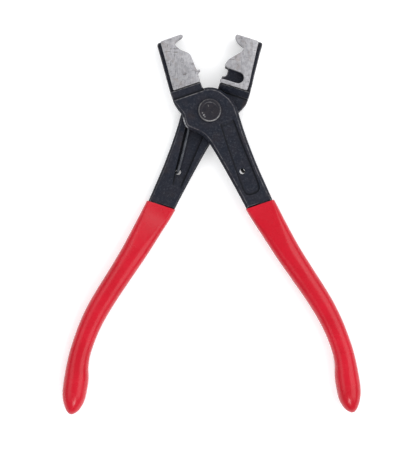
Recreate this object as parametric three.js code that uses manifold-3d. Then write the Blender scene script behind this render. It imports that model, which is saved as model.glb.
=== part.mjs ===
// Hose-clip pliers: two lapped forged arms on one rivet, with brazed-on jaw plates, a hidden
// return spring and dipped grips. Millimetres, +Z up, the pivot axis on Z, jaws towards +Y.
import * as THREE from 'three';
import { mergeVertices } from 'three/addons/utils/BufferGeometryUtils.js';
import Module from 'manifold-3d';

const wasm = await Module();
wasm.setup();

// ---------- Driving dimensions ----------
const FRONT_OPEN_DEG = 18.8;      // front arm's jaw edge to the tool's centre line, jaws fully open
const REAR_OPEN_DEG = 18.0;       // the same for the rear arm, on the other side
const MID_Z = 6;                  // plane halfway between the arms
const LAP_GAP = 0.1;              // running clearance between the arms
const LAP_THICKNESS = 4.95;       // each arm where the two lie on each other
const EDGE_CHAMFER = 0.8;         // forged edge of the arms, in plan
const EDGE_CHAMFER_DEPTH = 0.8;
const JAW_BOTTOM_Z = 1;           // underside of both jaws
const SEAT_Z = 6.5;               // flat that the jaw plate is brazed to
const BRAZE_GAP = 0.3;            // thickness of the braze layer
const PLATE_TOP_Z = 10.2;
const BAND_TOP_Z = 9.6;           // shoulder between the hinge disc and the jaw plate
const SEAT_INSET = 0.3;           // the seat stays this far inside the plate's working edges
const DISC_RADIUS = 10.2;         // hinge disc of each arm
const SHOULDER_RADIUS = 10.6;     // the other arm's shoulder clears the disc by this radius
const SHOULDER_Y = 10;            // and is straight beyond it
const DISC_STEP_Y = 9.4;          // step from the disc's face down to the band
const RIVET_RADIUS = 3.5;
const RIVET_HOLE_RADIUS = 3.6;
const RIVET_HEAD_RADIUS = 5.1;
const RIVET_TOP_Z = 12.8;
const HUB_RADIUS = 5.1;           // ring round the rivet hole inside the spring groove
const GROOVE_RADIUS = 7.6;        // outer wall of the spring groove
const GROOVE_DEPTH = 1.95;
const WIRE_RADIUS = 0.7;
const COIL_RADIUS = 6.5;          // centre of the wire
const COIL_RISE = 2.2;            // from the rear leg's level to the front leg's
const SPRING_HOLE_RADIUS = 1.3;
const SPRING_HOLE = [4.9, -29.8]; // where each leg ends, in the arm's own plan
const POCKET_DEPTH = 0.9;         // long pocket in each arm's outer face
const POCKET_TOP_Y = -8.2;
const GRIP_MOUTH_Y = -46;         // upper end of the grip
const TOP_COATING = 0.35;         // the coating is this thin at its upper end
const COATING = 1.4;              // and this thick over the core lower down
const CORE_GAP = 0.3;             // clearance between the core and the grip's inside
const ROUND_SIDES = 40;

// ---------- Turning three.js geometry into solids and back ----------
function solidOf(geometry) {
  const bare = geometry.clone();
  bare.deleteAttribute('normal');
  bare.deleteAttribute('uv');
  const merged = mergeVertices(bare, 1e-4);
  return new wasm.Manifold(new wasm.Mesh({
    numProp: 3,
    vertProperties: new Float32Array(merged.attributes.position.array),
    triVerts: new Uint32Array(merged.index.array),
  }));
}

function geometryOf(solid) {
  const mesh = solid.getMesh();
  const geometry = new THREE.BufferGeometry();
  geometry.setAttribute('position', new THREE.BufferAttribute(mesh.vertProperties, 3));
  geometry.setIndex(new THREE.BufferAttribute(mesh.triVerts, 1));
  geometry.computeVertexNormals();
  return geometry;
}

// A flat plate of the given outline between two heights, its edges chamfered on both faces.
function slab(shape, lowZ, highZ, chamfer = 0, chamferDepth = chamfer, curveSegments = 2) {
  const geometry = new THREE.ExtrudeGeometry(shape, {
    depth: highZ - lowZ - 2 * chamferDepth,
    curveSegments,
    bevelEnabled: chamfer > 0,
    bevelSegments: 1,
    bevelSize: chamfer,
    bevelOffset: -chamfer,
    bevelThickness: chamferDepth,
  });
  geometry.translate(0, 0, lowZ + chamferDepth);
  return solidOf(geometry);
}

// A round bar or cutter on the pivot axis, or at another place in plan.
function roundBar(radius, lowZ, highZ, x = 0, y = 0, sides = ROUND_SIDES) {
  const geometry = new THREE.CylinderGeometry(radius, radius, highZ - lowZ, sides);
  geometry.rotateX(Math.PI / 2);
  geometry.translate(x, y, (lowZ + highZ) / 2);
  return solidOf(geometry);
}

function outline(points) {
  return new THREE.Shape(points.map(([x, y]) => new THREE.Vector2(x, y)));
}

function vectors(points) {
  return points.map(([x, y]) => new THREE.Vector2(x, y));
}

// The same outline drawn in by a distance along each corner's inward direction.
function insetOutline(points, distance) {
  const clockwise = THREE.ShapeUtils.isClockWise(vectors(points));
  const side = clockwise ? -1 : 1;
  return points.map(([x, y], i) => {
    const [px, py] = points[(i + points.length - 1) % points.length];
    const [nx, ny] = points[(i + 1) % points.length];
    const along = new THREE.Vector2(nx - px, ny - py).normalize();
    return [x - side * along.y * distance, y + side * along.x * distance];
  });
}

// ---------- Arm: lap and handle ----------
// Drawn for the front arm with its jaw straight up: jaw on the left, handle to the lower right,
// mating face at height 0 and outer face at LAP_THICKNESS. The rear arm is this turned over.
// The full-width handle ends just inside the grip, and a rounded core carries on.
const HANDLE_END_Y = GRIP_MOUTH_Y - 0.4;

function lapOutline() {
  const shape = new THREE.Shape();
  shape.moveTo(-13.9, DISC_STEP_Y);
  shape.splineThru(vectors([
    [-13.7, 7.2], [-13.0, 4.6], [-12.1, 2.0], [-12.4, -1.4], [-12.0, -3.8], [-10.4, -5.5],
    [-8.2, -7.4], [-6.3, -9.7], [-5.0, -12.6], [-3.9, -17], [-2.4, -24.3], [-0.8, -33],
    [0.5, -40.4], [1.45, HANDLE_END_Y],
  ]));
  shape.lineTo(13.5, HANDLE_END_Y);
  shape.splineThru(vectors([
    [13.0, -41], [12.0, -30], [11.5, -20], [11.4, -12], [11.6, -5], [11.5, -1.2], [10.4, 2.6],
  ]));
  const shoulderAngle = THREE.MathUtils.degToRad(31);
  const topAngle = Math.acos(0.3 / DISC_RADIUS);
  shape.absarc(0, 0, DISC_RADIUS, shoulderAngle, topAngle, false);
  shape.lineTo(0.3, DISC_STEP_Y);
  shape.closePath();
  return shape;
}

function pocketOutline() {
  const shape = new THREE.Shape();
  shape.moveTo(8.6, POCKET_TOP_Y);
  shape.lineTo(2.5, POCKET_TOP_Y);
  shape.splineThru(vectors([[2.3, -16], [2.4, -26], [2.8, -38.2], [4.2, -40.3], [6.4, -40.7],
    [8.8, -40.1], [9.8, -37.6], [9.4, -28], [8.8, -18], [8.6, POCKET_TOP_Y]]));
  return shape;
}

// Room for the return spring in the mating face: a groove round the rivet, and a tapering
// recess for the leg whose floor runs out past the spring hole.
function springRoom() {
  const recess = slab(outline([[7.6, 0], [7.6, -9], [5.95, -29], [5.6, -35.5], [1.2, -35.5],
    [0.9, -31], [0.1, -21.8], [-0.8, -12.8], [-1.2, 0]]), -1, GROOVE_DEPTH);
  const sideShape = outline([[2, -1], [2, GROOVE_DEPTH], [-31.6, GROOVE_DEPTH], [-35.2, 0],
    [-35.2, -1]]);
  const sideGeometry = new THREE.ExtrudeGeometry(sideShape, { depth: 30, bevelEnabled: false });
  sideGeometry.applyMatrix4(new THREE.Matrix4().set(0, 0, 1, -15, 1, 0, 0, 0, 0, 1, 0, 0, 0, 0, 0, 1));
  const groove = roundBar(GROOVE_RADIUS, -1, GROOVE_DEPTH);
  const hub = roundBar(HUB_RADIUS, -2, LAP_THICKNESS);
  return recess.intersect(solidOf(sideGeometry)).add(groove).subtract(hub);
}

function lapSolid() {
  const blank = slab(lapOutline(), 0, LAP_THICKNESS, EDGE_CHAMFER, EDGE_CHAMFER_DEPTH);
  const pocket = slab(pocketOutline(), LAP_THICKNESS - POCKET_DEPTH, LAP_THICKNESS + 1);
  const springHole = roundBar(SPRING_HOLE_RADIUS, -1, LAP_THICKNESS + 1, ...SPRING_HOLE, 16);
  return blank
    .add(handleBar(coreForm))
    .subtract(pocket)
    .subtract(springRoom())
    .subtract(springHole)
    .subtract(roundBar(RIVET_HOLE_RADIUS, -1, LAP_THICKNESS + 1));
}

// ---------- Handle core and grip ----------
// Stations down the handle: place in plan, height over the mating face, and the grip's half
// width and half height there. squareness 2 is an ellipse, and higher is nearer a rectangle.
const handleStations = [
  { x: 7.55, y: -46.0, z: 2.45, width: 6.5, height: 3.15, squareness: 5.5 },
  { x: 8.45, y: -50.5, z: 2.2, width: 6.4, height: 3.6, squareness: 4.4 },
  { x: 9.7, y: -56.5, z: 1.3, width: 6.1, height: 4.2, squareness: 3.5 },
  { x: 12.25, y: -68.5, z: 0.2, width: 5.6, height: 4.9, squareness: 3 },
  { x: 15.4, y: -80.8, z: -0.05, width: 5.2, height: 5.15, squareness: 2.8 },
  { x: 17.9, y: -90.0, z: -0.05, width: 5.05, height: 5.2, squareness: 2.7 },
  { x: 19.95, y: -99.1, z: -0.05, width: 4.9, height: 5.1, squareness: 2.6 },
  { x: 21.1, y: -107.8, z: -0.05, width: 4.7, height: 4.95, squareness: 2.5 },
  { x: 21.4, y: -117.5, z: -0.05, width: 4.65, height: 4.9, squareness: 2.4 },
  { x: 20.75, y: -124.3, z: -0.05, width: 4.9, height: 5.25, squareness: 2.3 },
  { x: 19.45, y: -130.0, z: -0.05, width: 5.42, height: 5.8, squareness: 2.2 },
  { x: 18.6, y: -134.8, z: -0.05, width: 5.4, height: 6.0, squareness: 2.2 },
  { x: 17.8, y: -138.8, z: -0.05, width: 4.95, height: 5.4, squareness: 2.2 },
  { x: 17.3, y: -142.2, z: -0.05, width: 3.8, height: 4.2, squareness: 2.1 },
  { x: 17.1, y: -144.6, z: -0.05, width: 2.3, height: 2.6, squareness: 2 },
  { x: 17.0, y: -145.8, z: -0.05, width: 0.8, height: 0.8, squareness: 2 },
];

// What is drawn from the stations: how far inside the grip's surface it lies, both at the upper
// end, where the coating is thin, and lower down; how many stations; how many rings and sides.
const gripForm = { topInset: 0, inset: 0, stations: 16, rings: 30, sides: 20 };
const cavityForm = {
  topInset: TOP_COATING, inset: COATING - CORE_GAP, stations: 14, rings: 22, sides: 16,
};
const coreForm = {
  topInset: TOP_COATING + CORE_GAP + 0.2, inset: COATING, stations: 14, rings: 22, sides: 12,
};
const THIN_STATIONS = 3;          // the coating reaches its full thickness at this station

function handleBar(form) {
  const stations = handleStations.slice(0, form.stations);
  const middle = new THREE.CatmullRomCurve3(stations.map((s) => new THREE.Vector3(s.x, s.y, s.z)));
  const sizes = new THREE.CatmullRomCurve3(stations.map((s, i) => {
    const inset = THREE.MathUtils.lerp(form.topInset, form.inset, Math.min(1, i / THIN_STATIONS));
    return new THREE.Vector3(s.width - inset, s.height - inset, s.squareness);
  }));
  const geometry = new THREE.CylinderGeometry(1, 1, 1, form.sides, form.rings);
  const position = geometry.attributes.position;
  for (let i = 0; i < position.count; i += 1) {
    const share = 0.5 - position.getY(i);
    const centre = middle.getPoint(share);
    const along = middle.getTangent(share);
    const size = sizes.getPoint(share);
    const across = new THREE.Vector2(-along.y, along.x).normalize();
    const bend = 2 / size.z;
    const u = Math.sign(position.getX(i)) * Math.abs(position.getX(i)) ** bend * size.x;
    const v = Math.sign(position.getZ(i)) * Math.abs(position.getZ(i)) ** bend * size.y;
    position.setXYZ(i, centre.x + across.x * u, centre.y + across.y * u, centre.z + v);
  }
  return solidOf(geometry);
}

// The grip is the dipped coating: a blind sleeve, cut off square at its upper end.
function gripSolid() {
  const aboveMouth = outline([[-5, -40], [-5, GRIP_MOUTH_Y], [20, GRIP_MOUTH_Y], [20, -40]]);
  return handleBar(gripForm).subtract(handleBar(cavityForm)).subtract(slab(aboveMouth, -5, 10));
}

// ---------- Jaws ----------
// Both are drawn with the jaw straight up: the front arm's to the left of the centre line and
// the rear arm's to the right of it.
const frontPlatePoints = [
  [-12.2, 13.8], [-11.3, 26.3], [-10.8, 34.9], [-10.3, 35.5], [-1.3, 35.6], [-0.65, 35.2],
  [-0.6, 34.6], [-1.4, 34.1], [-3.2, 33.7], [-4.5, 33.1], [-5.1, 32.2], [-4.7, 31.2],
  [-3.9, 29.8], [-2.7, 28.5], [-1.3, 27.4], [-0.5, 26.4], [-0.05, 25.2], [0.25, 19.3],
  [0.7, 18.6], [1.5, 18.45], [1.75, 18.1], [1.5, 17.7], [0.9, 17.3], [0.25, 17.0],
  [0.25, 13.8], [-0.2, 13.4], [-11.9, 13.4],
];
const frontStripPoints = [
  [-13.8, 9.6], [-13.85, 12.7], [-13.4, 20.9], [-13.0, 27.3], [-12.6, 34.7], [-12.1, 35.4],
  [-11.2, 35.5], [-9, 35.2], [-9, 15], [-0.05, 15], [-0.05, 9.6],
];
const frontBandPoints = [[-13.0, 8], [-13.8, 9.6], [-13.85, 13.1], [0.25, 13.1], [0.25, 8]];

const rearPlatePoints = [
  [12.85, 13.9], [12.8, 16.8], [12.35, 21.0], [11.95, 25.5], [11.45, 30.6], [11.1, 34.9],
  [10.6, 35.5], [1.3, 35.4], [0.8, 35.0], [0.7, 34.4], [1.0, 33.5], [1.7, 32.7], [2.5, 32.1],
  [3.7, 31.6], [5.0, 31.1], [5.7, 30.4], [5.6, 29.6], [5.1, 28.6], [4.2, 27.5], [2.5, 25.6],
  [1.1, 23.9], [0.4, 22.3], [0.1, 21.2], [0.2, 13.9], [0.7, 13.2], [12.4, 13.4],
];
const rearStripPoints = [
  [14.5, 9.8], [14.55, 12.0], [14.2, 17.1], [13.8, 21.6], [13.5, 26.1], [13.2, 30.7],
  [13.1, 34.8], [12.6, 35.6], [11.3, 35.6], [9, 35.2], [9, 15], [0.65, 15], [0.65, 9.8],
];
const rearBandPoints = [
  [12.2, 3.2], [13.3, 5.0], [14.3, 7.4], [14.55, 9.8], [14.55, 13.1], [9, 13.1], [0.4, 12.9],
  [0.4, 8], [8.8, 8], [10.6, 5],
];

// Open-ended slot in the rear plate that the front plate's tooth passes into.
function slotOutline() {
  const shape = new THREE.Shape();
  shape.moveTo(-1, 22.0);
  shape.splineThru(vectors([[0.15, 20.95], [1.1, 20.5], [2.3, 20.2]]));
  shape.lineTo(7.4, 20.05);
  shape.absarc(7.4, 17.55, 2.5, Math.PI / 2, -Math.PI / 2, true);
  shape.lineTo(2.1, 15.0);
  shape.splineThru(vectors([[1.0, 14.95], [0.5, 14.6], [-1, 13.9]]));
  return shape;
}

// Relief in the rear seat for the tip of the tooth.
const seatReliefPoints = [[-1, 16.2], [0.7, 16.3], [1.8, 16.6], [2.2, 17.6], [2.2, 19.1],
  [1.9, 20.1], [-1, 20.4]];

function jawBody(platePoints, stripPoints, bandPoints) {
  const seat = slab(outline(insetOutline(platePoints, SEAT_INSET)), JAW_BOTTOM_Z, SEAT_Z);
  const strip = slab(outline(stripPoints), JAW_BOTTOM_Z, SEAT_Z);
  const band = slab(outline(bandPoints), JAW_BOTTOM_Z, BAND_TOP_Z);
  return seat.add(strip).add(band);
}

// Space that the other arm's hinge disc turns in, below or above the mating plane.
function discRoom(lowZ, highZ) {
  const belowShoulder = slab(outline([[-20, -20], [20, -20], [20, SHOULDER_Y], [-20, SHOULDER_Y]]),
    lowZ, highZ);
  return roundBar(SHOULDER_RADIUS, lowZ, highZ, 0, 0, 56).add(belowShoulder);
}

function frontArmSolid() {
  const lapLow = MID_Z + LAP_GAP / 2;
  const jaw = jawBody(frontPlatePoints, frontStripPoints, frontBandPoints)
    .subtract(discRoom(0, lapLow));
  return jaw.add(lapSolid().translate([0, 0, lapLow]));
}

function rearArmSolid() {
  const lapHigh = MID_Z - LAP_GAP / 2;
  const lap = lapSolid().rotate([0, 180, 0]).translate([0, 0, lapHigh]);
  const relief = slab(outline(seatReliefPoints), 0, SEAT_Z + 1);
  const jaw = jawBody(rearPlatePoints, rearStripPoints, rearBandPoints)
    .subtract(discRoom(lapHigh, RIVET_TOP_Z))
    .subtract(relief);
  return lap.add(jaw);
}

function frontPlateSolid() {
  return slab(outline(frontPlatePoints), SEAT_Z + BRAZE_GAP, PLATE_TOP_Z);
}

function rearPlateSolid() {
  return slab(outline(rearPlatePoints), SEAT_Z + BRAZE_GAP, PLATE_TOP_Z)
    .subtract(slab(slotOutline(), SEAT_Z, PLATE_TOP_Z + 1, 0, 0, 8));
}

// ---------- Rivet ----------
// One turned profile from the flat rear head, through the shank, to the domed front head.
function rivetGeometry() {
  const rearHeadTop = JAW_BOTTOM_Z - 0.1;
  const frontHeadLow = MID_Z + LAP_GAP / 2 + LAP_THICKNESS + 0.1;
  const profile = new THREE.Path();
  profile.moveTo(0, 0);
  profile.lineTo(RIVET_HEAD_RADIUS - 0.4, 0);
  profile.lineTo(RIVET_HEAD_RADIUS, 0.4);
  profile.lineTo(RIVET_HEAD_RADIUS, rearHeadTop);
  profile.lineTo(RIVET_RADIUS, rearHeadTop);
  profile.lineTo(RIVET_RADIUS, frontHeadLow);
  profile.lineTo(RIVET_HEAD_RADIUS, frontHeadLow);
  profile.lineTo(RIVET_HEAD_RADIUS, RIVET_TOP_Z - 0.9);
  profile.quadraticCurveTo(RIVET_HEAD_RADIUS, RIVET_TOP_Z - 0.1, RIVET_HEAD_RADIUS - 1, RIVET_TOP_Z - 0.1);
  profile.lineTo(3.6, RIVET_TOP_Z);
  profile.lineTo(3.3, RIVET_TOP_Z - 0.15);
  profile.lineTo(0, RIVET_TOP_Z - 0.1);
  const geometry = new THREE.LatheGeometry(profile.getPoints(3), 48);
  geometry.rotateX(Math.PI / 2);
  return geometryOf(solidOf(geometry));
}

// ---------- Return spring ----------
// One wire: up out of the rear arm's hole, along its recess, once and a bit round the rivet
// while it rises past the mating plane, and down the front arm's recess into its hole.
function springPath() {
  const rearTurn = THREE.MathUtils.degToRad(-REAR_OPEN_DEG);
  const frontTurn = THREE.MathUtils.degToRad(FRONT_OPEN_DEG);
  const lowZ = MID_Z - COIL_RISE / 2;
  const highZ = MID_Z + COIL_RISE / 2;
  const [holeX, holeY] = SPRING_HOLE;
  const leg = [[holeX, holeY, 2.6], [holeX, holeY, 1.5], [holeX + 0.04, holeY + 0.35, 0.35],
    [holeX + 0.12, holeY + 1.4, 0], [5.35, -23, 0], [5.9, -16, 0], [6.4, -9.5, 0],
    [COIL_RADIUS, -5, 0], [COIL_RADIUS, -2, 0]];
  const axis = new THREE.Vector3(0, 0, 1);
  const rearLeg = leg.map(([x, y, drop]) => (
    new THREE.Vector3(-x, y, lowZ - drop).applyAxisAngle(axis, rearTurn)));
  const frontLeg = leg.map(([x, y, drop]) => (
    new THREE.Vector3(x, y, highZ + drop).applyAxisAngle(axis, frontTurn))).reverse();
  const startAngle = Math.PI + rearTurn;
  const sweep = 3 * Math.PI + rearTurn - frontTurn;
  const steps = 28;
  const coil = [];
  for (let i = 0; i <= steps; i += 1) {
    const angle = startAngle - (sweep * i) / steps;
    coil.push(new THREE.Vector3(COIL_RADIUS * Math.cos(angle), COIL_RADIUS * Math.sin(angle),
      lowZ + (COIL_RISE * i) / steps));
  }
  return new THREE.CatmullRomCurve3([...rearLeg, ...coil, ...frontLeg]);
}

function springGeometry() {
  const section = new THREE.Shape();
  section.absarc(0, 0, WIRE_RADIUS, 0, 2 * Math.PI, false);
  return new THREE.ExtrudeGeometry(section, {
    steps: 118,
    curveSegments: 4,
    bevelEnabled: false,
    extrudePath: springPath(),
  });
}

// ---------- Assembly ----------
function finish(color, roughness, metalness) {
  return new THREE.MeshStandardMaterial({ color, roughness, metalness });
}

function part(name, geometry, material) {
  const mesh = new THREE.Mesh(geometry, material);
  mesh.name = name;
  return mesh;
}

const BLACK_OXIDE = 0x2c2d33;
const GROUND_STEEL = 0xaeacb0;
const RED_PVC = 0xd62a3e;

const frontArm = new THREE.Group();
frontArm.rotation.z = THREE.MathUtils.degToRad(FRONT_OPEN_DEG);
const gripFront = gripSolid().translate([0, 0, MID_Z + LAP_GAP / 2]);
frontArm.add(part('front_arm', geometryOf(frontArmSolid()), finish(BLACK_OXIDE, 0.5, 0.8)));
frontArm.add(part('front_jaw_plate', geometryOf(frontPlateSolid()), finish(GROUND_STEEL, 0.35, 1)));
frontArm.add(part('right_grip', geometryOf(gripFront), finish(RED_PVC, 0.3, 0)));

const rearArm = new THREE.Group();
rearArm.rotation.z = THREE.MathUtils.degToRad(-REAR_OPEN_DEG);
const gripRear = gripSolid().rotate([0, 180, 0]).translate([0, 0, MID_Z - LAP_GAP / 2]);
rearArm.add(part('rear_arm', geometryOf(rearArmSolid()), finish(BLACK_OXIDE, 0.5, 0.8)));
rearArm.add(part('rear_jaw_plate', geometryOf(rearPlateSolid()), finish(GROUND_STEEL, 0.35, 1)));
rearArm.add(part('left_grip', geometryOf(gripRear), finish(RED_PVC, 0.3, 0)));

const pliers = new THREE.Group();
pliers.add(rearArm);
pliers.add(frontArm);
pliers.add(part('pivot_rivet', rivetGeometry(), finish(BLACK_OXIDE, 0.45, 0.8)));
pliers.add(part('return_spring', springGeometry(), finish(0x3a3b40, 0.4, 0.9)));

export default pliers;
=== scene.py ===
# Hose-clip pliers, modelled in millimetres and turned into the frame's metres at the end.
# +Z is up through the pivot, the jaws point to +Y, and each arm is first drawn with its jaw
# straight up and then turned to where it stands with the jaws fully open.
import math
import bmesh
import bpy
import numpy as np
from mathutils import Matrix, Vector


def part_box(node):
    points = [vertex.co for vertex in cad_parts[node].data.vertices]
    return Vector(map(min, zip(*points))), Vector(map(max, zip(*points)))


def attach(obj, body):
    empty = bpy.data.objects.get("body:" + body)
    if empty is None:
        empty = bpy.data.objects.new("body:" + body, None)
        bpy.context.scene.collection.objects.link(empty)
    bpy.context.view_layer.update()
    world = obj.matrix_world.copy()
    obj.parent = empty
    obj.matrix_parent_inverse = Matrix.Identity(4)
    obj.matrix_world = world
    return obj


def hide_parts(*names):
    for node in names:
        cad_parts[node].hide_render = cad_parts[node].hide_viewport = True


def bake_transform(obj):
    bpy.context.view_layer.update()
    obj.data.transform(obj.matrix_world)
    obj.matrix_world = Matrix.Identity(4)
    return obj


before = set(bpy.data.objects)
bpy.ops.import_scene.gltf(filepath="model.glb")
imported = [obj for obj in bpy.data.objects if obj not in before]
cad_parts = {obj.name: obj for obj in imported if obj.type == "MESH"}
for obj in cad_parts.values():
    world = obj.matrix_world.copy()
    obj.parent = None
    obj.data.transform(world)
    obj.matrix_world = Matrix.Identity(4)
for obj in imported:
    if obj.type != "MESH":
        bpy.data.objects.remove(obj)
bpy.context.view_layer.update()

# ---------- Driving sizes, in millimetres ----------
MM = 0.001


def cad_top(node):
    """Highest corner of a CAD node's box, in millimetres."""
    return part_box(node)[1] / MM


PLATE_TOP = cad_top("front_jaw_plate").z
RIVET_TOP = cad_top("pivot_rivet").z
RIVET_RADIUS = cad_top("pivot_rivet").x

# Each arm's angle from the centre line with the jaws fully open.
FRONT_OPEN = math.radians(18.8)
REAR_OPEN = math.radians(-18.0)

# Levels: the laps meet at MID_Z, and each jaw plate lies on a seat beside a raised band.
LAP_THICKNESS = 4.95
LAP_GAP = 0.1
JAW_BOTTOM = 1.0
MID_Z = JAW_BOTTOM + LAP_THICKNESS + LAP_GAP / 2
SEAT_Z = 6.5
BAND_TOP = 9.6

# Plan of an arm, its jaw straight up.
DISC_RADIUS = 10.2
SHOULDER_RADIUS = 10.6
SHOULDER_Y = 10.0
DISC_STEP_Y = 9.4
HANDLE_END_Y = -46.4
RIVET_HOLE_RADIUS = 3.6
POCKET_DEPTH = 0.9
POCKET_TOP_Y = -8.2
POCKET_RUNOUT = 1.6
POCKET_RUNOUT_FROM_Y = -9.2
POCKET_DRAFT = 0.35
SEAT_INSET = 0.3

# Return spring and the room for it in each mating face.
HUB_RADIUS = 5.1
GROOVE_RADIUS = 7.6
GROOVE_DEPTH = 1.95
RECESS_END_Y = -31.6
RUNOUT_END_Y = -37.0
RUNOUT_END_DEPTH = -0.15
SPRING_HOLE = (4.9, -29.8)
SPRING_HOLE_RADIUS = 1.2
WIRE_RADIUS = 0.66
COIL_RADIUS = 6.5
COIL_RISE = 2.2

# How finely the forged skin is made, how worn it is, what counts as an edge of it, and how
# strongly its creases are painted in shade.
FORGING_VOXEL = 0.236
FORGING_WEAR = 3
EDGE_REACH = 7
EDGE_STAND = 0.060
CREASE_SHADE_GAIN = 1.6
SHARP_ANGLE = math.radians(42)

# How far cutters reach past the faces they cut, how far one reaches that clears all beyond
# a face, and how near a line counts as on it.
PAST = 1.0
CLEAR = 20.0
ON_LINE = 1e-6


# ---------- Plane curves ----------
def spline(points, steps=6):
    """Points on a Catmull-Rom curve through the given ones, in two or three dimensions."""
    knots = np.array(points, float)
    line = []
    last = len(knots) - 1
    for i in range(last):
        start, end = knots[i], knots[i + 1]
        leave = (end - knots[max(i - 1, 0)]) / 2
        arrive = (knots[min(i + 2, last)] - start) / 2
        for t in np.arange(steps) / steps:
            line.append(
                (2 * t**3 - 3 * t**2 + 1) * start + (t**3 - 2 * t**2 + t) * leave
                + (3 * t**2 - 2 * t**3) * end + (t**3 - t**2) * arrive
            )
    line.append(knots[last])
    return [tuple(p) for p in line]


def arc(centre, radius, start, end, steps):
    """Points on an arc, its angles in degrees."""
    angles = np.radians(np.linspace(start, end, steps + 1))
    return [(centre[0] + radius * math.cos(a), centre[1] + radius * math.sin(a)) for a in angles]


def inset(points, distance):
    """The outline drawn in by a distance, each point along its own inward direction."""
    p = np.array(points, float)
    along = np.roll(p, -1, 0) - np.roll(p, 1, 0)
    along /= np.linalg.norm(along, axis=1)[:, None]
    nxt = np.roll(p, -1, 0)
    area = np.sum(p[:, 0] * nxt[:, 1] - nxt[:, 0] * p[:, 1])
    side = 1 if area > 0 else -1
    return p + side * distance * np.stack([-along[:, 1], along[:, 0]], 1)


# ---------- Closed solids ----------
def new_object(mesh, name):
    obj = bpy.data.objects.new(name, mesh)
    bpy.context.scene.collection.objects.link(obj)
    return obj


def loft(rings, name="solid"):
    """A closed solid through rings of equally many points, its two ends capped."""
    shape = bmesh.new()
    rows = [[shape.verts.new(p) for p in ring] for ring in rings]
    for lower, upper in zip(rows, rows[1:]):
        for i in range(len(lower)):
            j = (i + 1) % len(lower)
            shape.faces.new((lower[i], lower[j], upper[j], upper[i]))
    ends = [shape.faces.new(rows[0][::-1]), shape.faces.new(rows[-1])]
    shape.normal_update()
    bmesh.ops.triangulate(shape, faces=ends, ngon_method="EAR_CLIP")
    bmesh.ops.recalc_face_normals(shape, faces=shape.faces)
    if shape.calc_volume(signed=True) < 0:
        bmesh.ops.reverse_faces(shape, faces=shape.faces)
    mesh = bpy.data.meshes.new(name)
    shape.to_mesh(mesh)
    shape.free()
    return new_object(mesh, name)


def prism(points, low, high):
    """The outline extruded between two heights."""
    return loft([[(x, y, z) for x, y in points] for z in (low, high)])


def profiled_prism(points, profile, step_y=None, step_share=0.3):
    """The outline extruded with a rounded edge: profile holds (height, inset) pairs.
    Points on the line y = step_y are drawn in less, which keeps that edge crisp."""
    rings = []
    for height, distance in profile:
        ring = []
        for (x, y), (a, b) in zip(points, inset(points, distance)):
            if step_y is not None and abs(y - step_y) < ON_LINE:
                a, b = x + (a - x) * step_share, y - distance * step_share
            ring.append((a, b, height))
        rings.append(ring)
    return loft(rings)


def combine(kind, body, *tools):
    """Boolean of a body with tools, which are used up."""
    for tool in tools:
        step = body.modifiers.new(kind, "BOOLEAN")
        step.operation = kind
        step.solver = "MANIFOLD"
        step.object = tool
    settle(body)
    for tool in tools:
        bpy.data.objects.remove(tool)
    return body


def settle(body):
    """Applies the object's modifiers."""
    evaluated = body.evaluated_get(bpy.context.evaluated_depsgraph_get())
    mesh = bpy.data.meshes.new_from_object(evaluated)
    body.modifiers.clear()
    body.data = mesh
    return body


def join(*bodies):
    """All the solids in one mesh."""
    shape = bmesh.new()
    for body in bodies:
        shape.from_mesh(body.data)
    mesh = bpy.data.meshes.new("joined")
    shape.to_mesh(mesh)
    shape.free()
    for body in bodies:
        bpy.data.objects.remove(body)
    return new_object(mesh, "joined")


def forge(body):
    """One skin over overlapping solids, its edges and corners worn round."""
    skin = body.modifiers.new("skin", "REMESH")
    skin.mode = "VOXEL"
    skin.voxel_size = FORGING_VOXEL
    wear = body.modifiers.new("wear", "SMOOTH")
    wear.factor = 0.5
    wear.iterations = FORGING_WEAR
    return settle(body)


def coordinates(mesh):
    values = np.empty(len(mesh.vertices) * 3)
    mesh.vertices.foreach_get("co", values)
    return values.reshape(-1, 3)


def store(mesh, name, values):
    """Keeps one number for each point of a mesh, for its material to read."""
    layer = mesh.attributes.new(name, "FLOAT", "POINT")
    layer.data.foreach_set("value", np.asarray(values, np.float32))


def mark_edges(mesh):
    """Stores how far each point stands out from its surroundings, for rubbed edges, and how far it
    lies in a crease, for painted shade.
    """
    place = coordinates(mesh)
    edges = np.empty(len(mesh.edges) * 2, int)
    mesh.edges.foreach_get("vertices", edges)
    a, b = edges.reshape(-1, 2).T
    count = np.bincount(edges, minlength=len(place))[:, None]
    smooth = place.copy()
    for _ in range(EDGE_REACH):
        total = np.stack([
            np.bincount(a, smooth[b, k], len(place)) + np.bincount(b, smooth[a, k], len(place))
            for k in range(3)
        ], 1)
        smooth = (smooth + total / count) / 2
    normals = np.empty(len(place) * 3)
    mesh.vertices.foreach_get("normal", normals)
    stand = np.sum((place - smooth) * normals.reshape(-1, 3), 1)
    store(mesh, "edge", np.clip(stand / EDGE_STAND, 0, 1))
    # Painted shade: how deep each point lies in a crease, for darkening it.
    store(mesh, "painted_crease_shade", np.clip(-CREASE_SHADE_GAIN * stand / EDGE_STAND, 0, 1))


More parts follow.
